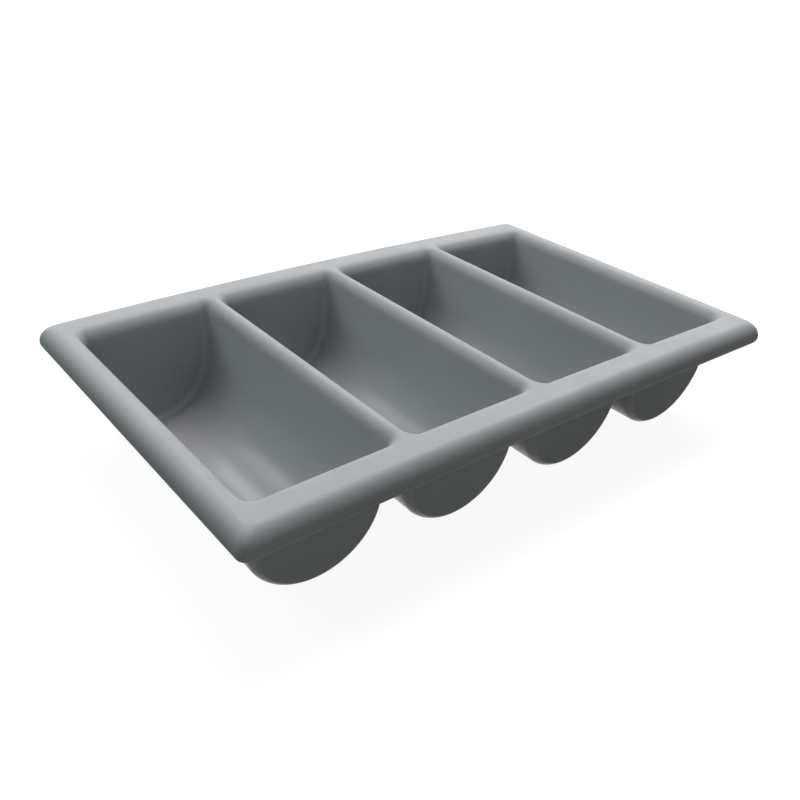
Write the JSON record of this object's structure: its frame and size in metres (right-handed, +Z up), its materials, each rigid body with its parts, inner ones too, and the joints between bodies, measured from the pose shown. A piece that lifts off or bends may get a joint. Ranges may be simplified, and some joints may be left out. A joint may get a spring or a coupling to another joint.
{
  "type": "cutlery tray",
  "caption": "Shallow rectangular cutlery tray with parallel round-bottomed troughs under a broad rolled rim, for sorting and carrying table cutlery.",
  "frame": {"origin": "centre of the footprint, on the surface that the trough bottoms stand on", "axes": "+X across the troughs along the long side, +Y along the troughs towards the back, +Z up out of the troughs"},
  "size_m": [0.53, 0.325, 0.1],
  "materials": {
    "tray_plastic": "satin moulded grey plastic with a faint sheen"
  },
  "bodies": {
    "root": {"front_rim": "tray_plastic", "back_rim": "tray_plastic", "left_rim": "tray_plastic", "right_rim": "tray_plastic", "corner_front_left": "tray_plastic", "corner_front_right": "tray_plastic", "corner_back_left": "tray_plastic", "corner_back_right": "tray_plastic", "divider_1": "tray_plastic", "divider_2": "tray_plastic", "divider_3": "tray_plastic", "floor_1": "tray_plastic", "floor_2": "tray_plastic", "floor_3": "tray_plastic", "floor_4": "tray_plastic", "left_wall_1": "tray_plastic", "left_wall_2": "tray_plastic", "left_wall_3": "tray_plastic", "left_wall_4": "tray_plastic", "right_wall_1": "tray_plastic", "right_wall_2": "tray_plastic", "right_wall_3": "tray_plastic", "right_wall_4": "tray_plastic", "front_end_1": "tray_plastic", "front_end_2": "tray_plastic", "front_end_3": "tray_plastic", "front_end_4": "tray_plastic", "back_end_1": "tray_plastic", "back_end_2": "tray_plastic", "back_end_3": "tray_plastic", "back_end_4": "tray_plastic"}
  },
  "joints": []
}
